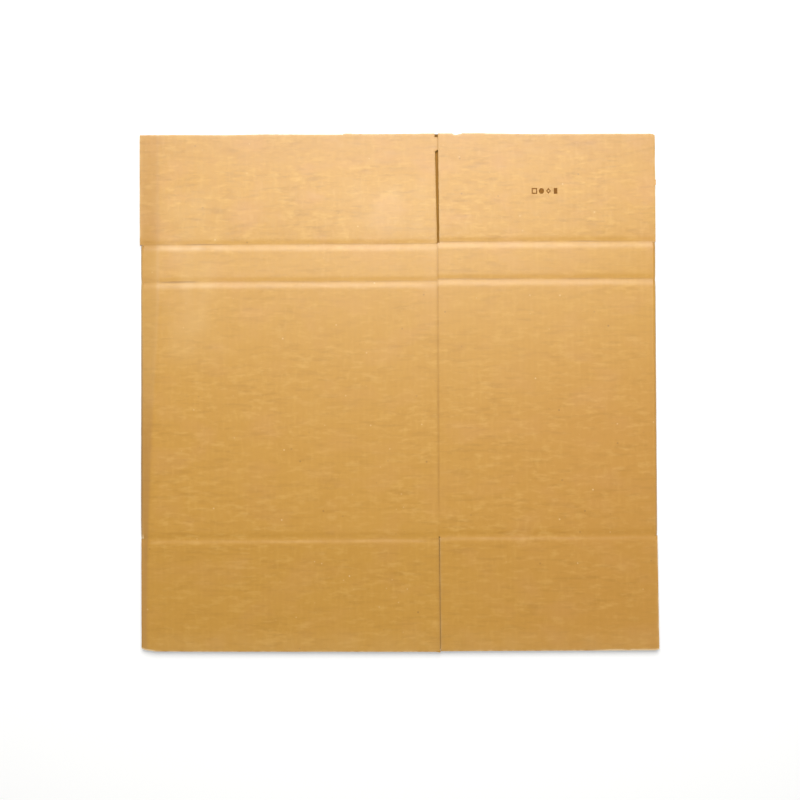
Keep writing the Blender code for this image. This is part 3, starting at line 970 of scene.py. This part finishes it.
# The columns beside a border move with it, so that the last one lies on it
def placeAcross(x, plain, actual):
    for border, target in zip(plain, actual):
        away = abs(x - border)
        if away < flapForm["stretch"]:
            x += (1 - away / flapForm["stretch"]) * (target - border)
    return x


def frayShare(x, y, toEdge):
    ends = rising(x, frayForm["right"]) + falling(x, frayForm["left"])
    if y > bottomScore or not ends:
        return 0.0
    return ends * falling(toEdge, frayForm["rim"]) * varied(frayForm["uneven"], x, y, 9 * mm, 7.2)


def cornerCrush(x, y):
    away = math.hypot(x + foldX, y - cadLow.y)
    share = smoothStep(1 - away / crushForm["reach"])
    return share * (crushForm["depth"] + crushForm["pucker"] * rough(x, y, 6 * mm, 3.3))


def makeFlap(node, side, end, low, high):
    scoreY = hinges[node][1]
    length = (cadHigh.y - scoreY if end > 0 else scoreY - cadLow.y) - wall["edgeDraw"]
    step = scoreY - (topScore if end > 0 else bottomScore)
    length -= step if end < 0 else 0.0
    plain = (low(length / 2, length), high(length / 2, length))
    words = node.split("_")[:-1]
    name = words[0] + "".join(word.capitalize() for word in words[1:])
    layers = (
        ("OuterLiner", flapColumns(*plain, bodyForm["frontStep"] if side > 0 else flapForm["backStep"]),
         flapRows(node, length), wall["liner"], outerLiner),
        ("InnerLiner", flapColumns(*plain, flapForm["innerStep"]),
         flapRows(node, length), wall["liner"], innerLiner),
        ("Fluting", spread(*plain, flapForm["waveStep"]),
         waveRows(length), wall["fluting"], flutingPaper),
    )
    if node == "back_top_long_flap":
        innerColumns, half = layers[1][1], slotShadeForm["columns"]
        innerColumns.extend(spread(uprightX - half, uprightX + half, slotShadeForm["columnStep"]))
        innerColumns.sort()
    for layer, columns, rows, thickness, material in layers:
        bm, stations = sheetGrid(len(columns), len(rows))
        bent, rubbed, pressed = bm.verts.layers.float.values()
        for vert, column, row in stations:
            distance = rows[row]
            actual = (low(distance, length), high(distance, length))
            x = placeAcross(columns[column], plain, actual)
            toEdge = length - distance
            back = standBack(node, (x - plain[0]) / (plain[1] - plain[0]))
            back -= rag(x, 5.1 + side, flapForm["edgeRag"])
            distance -= back * smoothStep(1 - toEdge / flapForm["edgeStretch"])
            y = scoreY + end * distance
            inside = flapForm["inside"]
            x = min(cadHigh.x - inside, max(cadLow.x + inside, x))
            y = min(cadHigh.y - inside, max(cadLow.y + inside, y))
            toBorder = math.inf
            if distance > flapForm["lipFrom"]:
                toBorder = min(x - actual[0], actual[1] - x, toEdge)
            press = outerRelief(x, y, side) + wall["lip"] * math.exp(-toBorder / wall["lipWidth"])
            if node == "front_bottom_long_flap":
                press += cornerCrush(x, y)
            upper = frontFace(x, y, step) if side > 0 else board
            outer, inner = (upper, max(upper, foldZ) - board) if side > 0 else (0.0, board)
            if layer == "OuterLiner":
                z = outer - side * press
                vert[bent] = bendShadeAndGrimeShare(x, y, side)
                # painted shade along the borders of the slot and the slit, in place of the rubbed rim
                borderShade = math.exp(-abs(x - uprightX) / borderShadeForm["reach"]) if side > 0 else 0.0
                if node == "front_bottom_long_flap":
                    # its left border gets painted shade like the fold above it
                    borderShade = max(borderShade, math.exp(-(x + foldX) / borderShadeForm["reach"]))
                vert[rubbed] = rubShare(toBorder, x, y) * (1 - borderShade) + highlightShare(x, y, side)
                vert[rubbed] += frayShare(x, y, toEdge)
                borderShade *= borderShadeForm["slot" if end > 0 else "slit"]
                vert[pressed] = scoreShadeAndBurnishShare(x, y, side) + borderShade * math.exp(-toBorder / borderShadeForm["width"])
            elif layer == "InnerLiner":
                z = inner + side * flapForm["innerClear"]
                vert[rubbed] = rubShare(toBorder, x, y)
                if node == "back_top_long_flap":
                    # painted shade where the slot above shadows the flap
                    least = slotShadeForm["least"]
                    slotShade = falling(abs(x - uprightX), slotShadeForm["across"])
                    vert[pressed] = slotShade * (least + (1 - least) * falling(toEdge, slotShadeForm["mouth"]))
                    vert[rubbed] *= 1 - vert[pressed]
            else:
                shelf = wall["liner"] + wall["fluting"] / 2
                top = outer - side * (press + shelf)
                bottom = inner + side * (shelf + flapForm["innerClear"])
                phase = 2 * math.pi * x / wall["pitch"]
                phase += flapForm["waveWander"] * rough(x, y, 50 * mm, 2.9)
                z = bottom + (top - bottom) * (0.5 + 0.5 * math.sin(phase))
            vert.co = (x, y, z)
        if (layer == "InnerLiner") == (side == end):
            bmesh.ops.reverse_faces(bm, faces=bm.faces[:])
        piece = finishPiece(name + layer, bm, thickness, material)
        start = (0, scoreY - end * flapForm["bendStart"], 0)
        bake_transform(piece, "carton", node, start=start, end=(0, scoreY + end * flapForm["bendEnd"], 0))
        if layer == "OuterLiner":
            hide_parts(node)


def makeFlaps():
    foldInset = 0.3 * mm
    nearSide = slitLong + slitForm["closer"] + slitForm["shift"]
    farSide = slitShort - slitForm["closer"] + slitForm["shift"]
    makeFlap("front_top_long_flap", 1, 1, cutBorder(-flapX, -noseX, 1.1), slotBorder)
    makeFlap("front_top_short_flap", 1, 1, slotFarSide, tornBorder)
    makeFlap("front_bottom_long_flap", 1, -1, cutBorder(foldInset - foldX, -noseX, 1.4),
             cutBorder(nearSide, uprightX, 4.4, slitForm["taper"]))
    makeFlap("front_bottom_short_flap", 1, -1, cutBorder(farSide, uprightX, 4.4, slitForm["taper"]),
             cutBorder(flapX, noseX, 2.2, taper=foldX - foldInset - flapX))
    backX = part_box("back_top_long_flap")[1].x
    for place, end in (("top", 1), ("bottom", -1)):
        makeFlap("back_" + place + "_short_flap", -1, end, cutBorder(-backX, -noseX, 6.1),
                 cutBorder(seamShort, seamX - wall["seamHalf"], 6.6))
        makeFlap("back_" + place + "_long_flap", -1, end,
                 cutBorder(seamLong, seamX + wall["seamHalf"], 7.7), cutBorder(backX, noseX, 7.1))


# The place of the small print on the right top flap, as plain shapes in its colour
stampForm = {
    "start": 182.4 * mm,
    "middle": 274.0 * mm,
    "height": 8.0 * mm,
    "step": 9.6 * mm,
    "above": 0.07 * mm,
    "film": 0.03 * mm,
    "soak": 1.6 * mm,           # the ink's patches in the paper
    "ink": "#74460E",
    "thin": "#94641E",
    # corners, turn by a share of one, width and hole of a frame, a disc, a lozenge and a bar
    "shapes": ((4, 0.5, 0.95, 0.6), (20, 0, 0.9, 0), (4, 0, 0.85, 0.45), (4, 0.5, 0.62, 0)),
}


# Water-based flexo ink soaked into kraft: it lies thinner in patches
def inkMaterial():
    material, tree, shader = newMaterial("water_based_flexo_ink")
    place = addNode(tree, "ShaderNodeTexCoord", {}, output="Object")
    soak = addNode(tree, "ShaderNodeTexNoise", {"Scale": 1 / stampForm["soak"], "Detail": 2.0},
                   {"Vector": place})
    share = addNode(tree, "ShaderNodeMapRange", {1: 0.38, 2: 0.66, 3: 0.0, 4: 1.0}, {0: soak})
    colour = addNode(tree, "ShaderNodeMix", {"data_type": "RGBA", 6: toLinear(stampForm["ink"]),
                                             7: toLinear(stampForm["thin"])}, {0: share}, output=2)
    tree.links.new(colour, shader["Base Color"])
    shader["Roughness"].default_value = 0.6
    shader["Specular IOR Level"].default_value = 0.15
    bump = addNode(tree, "ShaderNodeBump", {"Strength": 0.3, "Distance": 0.04 * mm}, {"Height": soak})
    tree.links.new(bump, shader["Normal"])
    return material


def makeStamp():
    bm = bmesh.new()
    half = stampForm["height"] / 2
    for index, (sides, turn, wide, hole) in enumerate(stampForm["shapes"]):
        middle = Vector((stampForm["start"] + half + index * stampForm["step"], stampForm["middle"], 0))
        reach = half / math.cos(math.pi / 4) if turn else half
        rings = []
        for size in (reach, reach * hole):
            ring = []
            for corner in range(sides if size else 0):
                angle = 2 * math.pi * (corner + turn) / sides
                spot = middle + size * Vector((wide * math.cos(angle), math.sin(angle), 0))
                ring.append(bm.verts.new(spot))
            rings.append(ring)
        outer, inner = rings
        if inner:
            for corner in range(sides):
                following = (corner + 1) % sides
                bm.faces.new((outer[corner], outer[following], inner[following], inner[corner]))
        else:
            bm.faces.new(outer)
    bmesh.ops.subdivide_edges(bm, edges=bm.edges[:], cuts=3, use_grid_fill=True)
    bmesh.ops.triangulate(bm, faces=[face for face in bm.faces if len(face.verts) > 4])
    for vert in bm.verts:
        x, y = vert.co.x, vert.co.y
        vert.co.z = frontFace(x, y, scoreStep) - outerRelief(x, y, 1) + stampForm["above"]
    stamp = finishPiece("flapStamp", bm, stampForm["film"], inkMaterial())
    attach(stamp, "front_top_short_flap")


makeBodySkin()
makeBodyLining()
print("body made")
makeFlaps()
makeStamp()
print("flaps made")


# Floor, light and camera
studio = {
    "floorSize": 3.6,
    "floorColour": "#D6D6D4",
    "floorGlow": 0.44,
    "boxPlace": (0.05, 1.28, 2.0),
    "boxSize": (1.75, 2.0),
    "boxPower": 81.0,           # watts
    "sky": 0.10,
}


# The camera, gloss and clear pieces see the backdrop white, while it lights the object less
def backdropRays(tree):
    rays = addNode(tree, "ShaderNodeLightPath", {}).node.outputs
    seen = addNode(tree, "ShaderNodeMath", {"operation": "MAXIMUM"},
                   {0: rays["Is Camera Ray"], 1: rays["Is Glossy Ray"]})
    return addNode(tree, "ShaderNodeMath", {"operation": "MAXIMUM"},
                   {0: seen, 1: rays["Is Transmission Ray"]})


def makeFloor():
    bm = bmesh.new()
    bmesh.ops.create_grid(bm, x_segments=1, y_segments=1, size=studio["floorSize"] / 2)
    mesh = bpy.data.meshes.new("floor")
    bm.to_mesh(mesh)
    bm.free()
    floor = bpy.data.objects.new("floor", mesh)
    bpy.context.scene.collection.objects.link(floor)
    # White seamless backdrop paper: the camera sees it a little brighter, and it keeps shadows
    material, tree, shader = newMaterial("white_seamless_backdrop_paper")
    shader["Base Color"].default_value = toLinear(studio["floorColour"])
    shader["Roughness"].default_value = 0.9
    shader["Emission Color"].default_value = (1, 1, 1, 1)
    glow = addNode(tree, "ShaderNodeMath", {"operation": "MULTIPLY", 1: studio["floorGlow"]},
                   {0: backdropRays(tree)})
    tree.links.new(glow, shader["Emission Strength"])
    mesh.materials.append(material)


def makeLight():
    data = bpy.data.lights.new("softbox", "AREA")
    data.shape = "RECTANGLE"
    data.size, data.size_y = studio["boxSize"]
    data.energy = studio["boxPower"]
    lamp = bpy.data.objects.new("softbox", data)
    lamp.location = studio["boxPlace"]
    lamp.rotation_euler = (-lamp.location).to_track_quat("-Z", "Y").to_euler()
    bpy.context.scene.collection.objects.link(lamp)
    world = bpy.data.worlds.new("studio")
    world.use_nodes = True
    tree = world.node_tree
    strength = addNode(tree, "ShaderNodeMapRange", {1: 0.0, 2: 1.0, 3: studio["sky"], 4: 1.0},
                       {0: backdropRays(tree)})
    background = tree.nodes["Background"].inputs
    background["Color"].default_value = (1, 1, 1, 1)
    tree.links.new(strength, background["Strength"])
    bpy.context.scene.world = world


# Lens and sensor in mm, tilt and roll in degrees
view = {"lens": 60.0, "sensor": 36.0, "pixel": 1.36 * mm, "pixels": 800,
        "aim": (1.6 * mm, -10.7 * mm), "tilt": 0.8, "roll": 0.25}


def makeCamera():
    data = bpy.data.cameras.new("camera")
    data.lens, data.sensor_width = view["lens"], view["sensor"]
    camera = bpy.data.objects.new("camera", data)
    away = view["pixel"] * view["pixels"] * view["lens"] / view["sensor"]
    tilt = math.radians(view["tilt"])
    aim = Vector((*view["aim"], crownZ))
    camera.location = aim + away * Vector((0, -math.sin(tilt), math.cos(tilt)))
    camera.rotation_euler = (tilt, 0, 0)
    camera.rotation_euler.rotate_axis("Z", -math.radians(view["roll"]))
    bpy.context.scene.collection.objects.link(camera)
    bpy.context.scene.camera = camera


makeFloor()
makeLight()
makeCamera()
bpy.context.scene.view_settings.view_transform = "Standard"
print("stage made")
